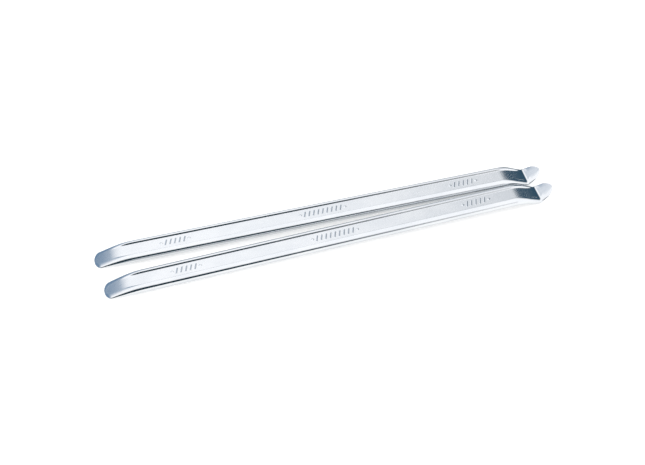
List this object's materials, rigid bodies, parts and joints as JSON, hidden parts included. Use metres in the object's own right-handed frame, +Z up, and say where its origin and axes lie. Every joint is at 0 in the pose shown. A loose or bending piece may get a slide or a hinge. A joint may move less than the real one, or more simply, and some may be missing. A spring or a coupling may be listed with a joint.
{
  "type": "tyre lever pair",
  "caption": "Chrome-plated forged tyre levers lying side by side, each a beaded bar with a flat spoon tip at one end and an S bend with an upturned tip at the other.",
  "frame": {"origin": "under the middle of the pair's bounding box, on the surface that the levers lie on", "axes": "+X along the rear lever from its spoon tip to its upturned tip, +Z up, away from the surface; +Y from the front lever to the rear lever"},
  "size_m": [0.454, 0.0626, 0.0149],
  "materials": {
    "rear_chrome": "bright chrome plate over a forged steel bar, satin in the sunk web",
    "front_chrome": "bright chrome plate over a forged steel bar, satin in the sunk web"
  },
  "bodies": {
    "rear_lever": {"rear_lever": "rear_chrome"},
    "front_lever": {"front_lever": "front_chrome"}
  },
  "joints": [
    {"name": "front_lever_lift", "type": "slide", "parent": "rear_lever", "child": "front_lever", "axis": [0, 0, 1], "range_m": [0, 0.12]}
  ]
}
